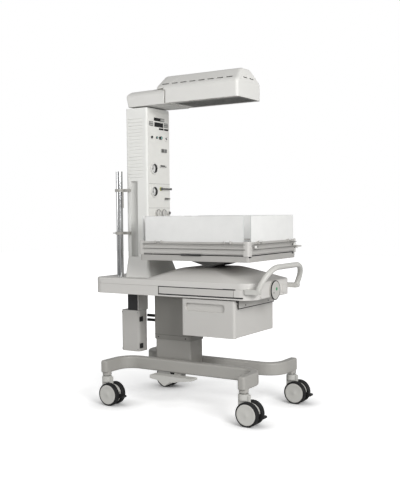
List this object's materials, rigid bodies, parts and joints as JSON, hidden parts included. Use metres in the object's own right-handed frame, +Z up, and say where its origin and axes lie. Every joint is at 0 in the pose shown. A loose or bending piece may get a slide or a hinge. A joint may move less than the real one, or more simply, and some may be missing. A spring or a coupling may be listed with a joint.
{
  "type": "infant radiant warmer",
  "caption": "Wheeled infant bed with clear fold-down walls under a swivelling overhead radiant heater, on a column above a lifting console with drawer, tray and push handle.",
  "frame": {"origin": "on the floor, in the middle of the overall length and width", "axes": "+X to the foot end with the push handle, -Y to the side with the drawer, +Z up"},
  "size_m": [1.122, 0.636, 1.8245],
  "materials": {
    "leg_paint": "light grey powder coat on cast aluminium",
    "plate_paint": "grey powder coat on cast aluminium",
    "lift_tube": "satin anodised extrusion",
    "steel": "bright turned steel",
    "pedal_cast": "light grey powder coat",
    "fork_plastic": "light grey moulded nylon",
    "tyre_rubber": "black rubber tread on a grey disc",
    "brake_black": "black moulded nylon",
    "shell_plastic": "light grey moulded housing",
    "cover_plastic": "light grey moulded cover",
    "handle_coat": "grey epoxy coat on bent tube",
    "tray_plastic": "moulded tray",
    "drawer_plastic": "moulded drawer",
    "hanger_paint": "grey painted sheet steel",
    "knob_plastic": "grey moulded knob",
    "pan_plastic": "grey moulded pan",
    "rail_alu": "satin anodised extrusion",
    "corner_plastic": "light grey moulded corner",
    "wall_clear": "clear polished acrylic sheet",
    "mattress_cover": "wipe-clean coated fabric",
    "cassette_plastic": "dark moulded tray",
    "column_paint": "light grey textured paint on sheet steel",
    "panel_film": "printed membrane on moulded plate",
    "display_dark": "dark display windows and keypads",
    "fitting_plastic": "moulded gauge cases and ports",
    "needle_black": "black painted needle",
    "control_plastic": "moulded control",
    "chrome_tube": "polished chrome",
    "bracket_cast": "cast bracket",
    "box_paint": "light grey painted sheet steel",
    "fixing_black": "black moulded neck, clips and struts",
    "hood_plastic": "light grey moulded hood",
    "reflector": "bright reflector sheet",
    "heater_quartz": "frosted quartz sheath with ceramic ends",
    "guard_steel": "nickel plated grille"
  },
  "bodies": {
    "base": {"base_legs": "leg_paint", "base_plate": "plate_paint", "lift_inner_tube": "lift_tube", "lift_actuator": "steel"},
    "pedal": {"lift_pedal": "pedal_cast"},
    "console": {"lift_outer_tube": "lift_tube", "lift_rod": "steel", "console_tub": "shell_plastic", "console_roof": "shell_plastic", "foot_cover": "cover_plastic", "push_handle": "handle_coat", "column_foot": "shell_plastic", "column_case": "column_paint", "service_box": "box_paint", "service_fixings": "fixing_black", "drawer_hangers": "hanger_paint", "tilt_post": "steel", "equipment_pole": "chrome_tube", "pole_brackets": "bracket_cast", "control_panel": "panel_film", "panel_displays": "display_dark", "panel_fittings": "fitting_plastic"},
    "tray": {"pull_tray": "tray_plastic"},
    "drawer": {"drawer": "drawer_plastic"},
    "tilt_wheel": {"tilt_knob": "knob_plastic"},
    "bed": {"bed_pan": "pan_plastic", "bed_rails": "rail_alu", "corner_posts": "corner_plastic", "mattress": "mattress_cover", "tilt_yoke": "plate_paint", "head_wall": "wall_clear"},
    "cassette": {"cassette_tray": "cassette_plastic"},
    "near_side": {"near_wall": "wall_clear"},
    "far_side": {"far_wall": "wall_clear"},
    "foot_side": {"foot_wall": "wall_clear"},
    "lever": {"lock_lever": "control_plastic"},
    "hood": {"hood_shell": "hood_plastic", "hood_arm": "hood_plastic", "heater_tray": "reflector", "heater_rods": "heater_quartz", "heater_guard": "guard_steel"},
    "needle_upper": {"gauge_needle_upper": "needle_black"},
    "needle_lower": {"gauge_needle_lower": "needle_black"},
    "menu": {"menu_knob": "control_plastic"},
    "button": {"push_button": "control_plastic"},
    "valve": {"valve_lever": "control_plastic"},
    "flow_left": {"flow_knob_left": "control_plastic"},
    "flow_right": {"flow_knob_right": "control_plastic"},
    "fork_near_head": {"caster_fork_near_head": "fork_plastic"},
    "wheels_near_head": {"caster_wheels_near_head": "tyre_rubber"},
    "brake_near_head": {"brake_tab_near_head": "brake_black"},
    "fork_far_head": {"caster_fork_far_head": "fork_plastic"},
    "wheels_far_head": {"caster_wheels_far_head": "tyre_rubber"},
    "brake_far_head": {"brake_tab_far_head": "brake_black"},
    "fork_near_foot": {"caster_fork_near_foot": "fork_plastic"},
    "wheels_near_foot": {"caster_wheels_near_foot": "tyre_rubber"},
    "brake_near_foot": {"brake_tab_near_foot": "brake_black"},
    "fork_far_foot": {"caster_fork_far_foot": "fork_plastic"},
    "wheels_far_foot": {"caster_wheels_far_foot": "tyre_rubber"},
    "brake_far_foot": {"brake_tab_far_foot": "brake_black"}
  },
  "joints": [
    {"name": "lift", "type": "slide", "parent": "base", "child": "console", "axis": [0, 0, 1], "range_m": [-0.094, 0.156]},
    {"name": "hood_swivel", "type": "hinge", "parent": "console", "child": "hood", "pos_m": [-0.3339, 0, 1.65], "axis": [0, 0, 1], "range_deg": [-90, 90]},
    {"name": "bed_tilt", "type": "hinge", "parent": "console", "child": "bed", "pos_m": [0.1313, 0, 0.782], "axis": [0, 1, 0], "range_deg": [-15, 15]},
    {"name": "tilt_wheel_turn", "type": "hinge", "parent": "console", "child": "tilt_wheel", "pos_m": [0.47, 0, 0.655], "axis": [1, 0, 0], "range_deg": [-720, 720]},
    {"name": "drawer_slide", "type": "slide", "parent": "console", "child": "drawer", "axis": [0, -1, 0], "range_m": [0, 0.35]},
    {"name": "tray_slide", "type": "slide", "parent": "console", "child": "tray", "axis": [0, -1, 0], "range_m": [0, 0.12]},
    {"name": "cassette_slide", "type": "slide", "parent": "bed", "child": "cassette", "axis": [0, 1, 0], "range_m": [-0.3, 0]},
    {"name": "near_wall_fold", "type": "hinge", "parent": "bed", "child": "near_side", "pos_m": [0, -0.2758, 0.917], "axis": [1, 0, 0], "range_deg": [0, 180]},
    {"name": "far_wall_fold", "type": "hinge", "parent": "bed", "child": "far_side", "pos_m": [0, 0.2758, 0.917], "axis": [-1, 0, 0], "range_deg": [0, 180]},
    {"name": "foot_wall_fold", "type": "hinge", "parent": "bed", "child": "foot_side", "pos_m": [0.4793, 0, 0.917], "axis": [0, 1, 0], "range_deg": [0, 180]},
    {"name": "lock_lever_turn", "type": "hinge", "parent": "bed", "child": "lever", "pos_m": [0.4755, 0.262, 0.877], "axis": [0, 0, 1], "range_deg": [0, 90]},
    {"name": "pedal_rock", "type": "hinge", "parent": "base", "child": "pedal", "pos_m": [-0.075, -0.15, 0.159], "axis": [0, 1, 0], "range_deg": [-6, 6], "stiffness_Nm_per_rad": 20},
    {"name": "caster_swivel_near_head", "type": "hinge", "parent": "base", "child": "fork_near_head", "pos_m": [-0.437, -0.275, 0.18], "axis": [0, 0, 1], "continuous": true},
    {"name": "wheel_spin_near_head", "type": "hinge", "parent": "fork_near_head", "child": "wheels_near_head", "pos_m": [-0.403, -0.275, 0.0625], "axis": [0, 1, 0], "continuous": true},
    {"name": "brake_press_near_head", "type": "hinge", "parent": "fork_near_head", "child": "brake_near_head", "pos_m": [-0.365, -0.275, 0.056], "axis": [0, 1, 0], "range_deg": [0, 12]},
    {"name": "caster_swivel_far_head", "type": "hinge", "parent": "base", "child": "fork_far_head", "pos_m": [-0.437, 0.275, 0.18], "axis": [0, 0, 1], "continuous": true},
    {"name": "wheel_spin_far_head", "type": "hinge", "parent": "fork_far_head", "child": "wheels_far_head", "pos_m": [-0.403, 0.275, 0.0625], "axis": [0, 1, 0], "continuous": true},
    {"name": "brake_press_far_head", "type": "hinge", "parent": "fork_far_head", "child": "brake_far_head", "pos_m": [-0.365, 0.275, 0.056], "axis": [0, 1, 0], "range_deg": [0, 12]},
    {"name": "caster_swivel_near_foot", "type": "hinge", "parent": "base", "child": "fork_near_foot", "pos_m": [0.437, -0.275, 0.18], "axis": [0, 0, 1], "continuous": true},
    {"name": "wheel_spin_near_foot", "type": "hinge", "parent": "fork_near_foot", "child": "wheels_near_foot", "pos_m": [0.471, -0.275, 0.0625], "axis": [0, 1, 0], "continuous": true},
    {"name": "brake_press_near_foot", "type": "hinge", "parent": "fork_near_foot", "child": "brake_near_foot", "pos_m": [0.509, -0.275, 0.056], "axis": [0, 1, 0], "range_deg": [0, 12]},
    {"name": "caster_swivel_far_foot", "type": "hinge", "parent": "base", "child": "fork_far_foot", "pos_m": [0.437, 0.275, 0.18], "axis": [0, 0, 1], "continuous": true},
    {"name": "wheel_spin_far_foot", "type": "hinge", "parent": "fork_far_foot", "child": "wheels_far_foot", "pos_m": [0.471, 0.275, 0.0625], "axis": [0, 1, 0], "continuous": true},
    {"name": "brake_press_far_foot", "type": "hinge", "parent": "fork_far_foot", "child": "brake_far_foot", "pos_m": [0.509, 0.275, 0.056], "axis": [0, 1, 0], "range_deg": [0, 12]},
    {"name": "menu_turn", "type": "hinge", "parent": "console", "child": "menu", "pos_m": [-0.258, 0.01, 1.492], "axis": [1, 0, 0], "continuous": true},
    {"name": "button_press", "type": "slide", "parent": "console", "child": "button", "axis": [-1, 0, 0], "range_m": [0, 0.002], "stiffness_N_per_m": 400},
    {"name": "valve_turn", "type": "hinge", "parent": "console", "child": "valve", "pos_m": [-0.258, 0.012, 1.203], "axis": [1, 0, 0], "range_deg": [0, 90]},
    {"name": "flow_left_turn", "type": "hinge", "parent": "console", "child": "flow_left", "pos_m": [-0.258, -0.024, 1.065], "axis": [1, 0, 0], "range_deg": [0, 270]},
    {"name": "flow_right_turn", "type": "hinge", "parent": "console", "child": "flow_right", "pos_m": [-0.258, 0.031, 1.065], "axis": [1, 0, 0], "range_deg": [0, 270]},
    {"name": "needle_turn_upper", "type": "hinge", "parent": "console", "child": "needle_upper", "pos_m": [-0.2637, -0.052, 1.317], "axis": [1, 0, 0], "range_deg": [-135, 135], "stiffness_Nm_per_rad": 0.0005},
    {"name": "needle_turn_lower", "type": "hinge", "parent": "console", "child": "needle_lower", "pos_m": [-0.2637, -0.052, 1.187], "axis": [1, 0, 0], "range_deg": [-135, 135], "stiffness_Nm_per_rad": 0.0005}
  ],
  "couplings": [
    {"joint": "tilt_wheel_turn", "follows": "bed_tilt", "ratio": 48}
  ]
}
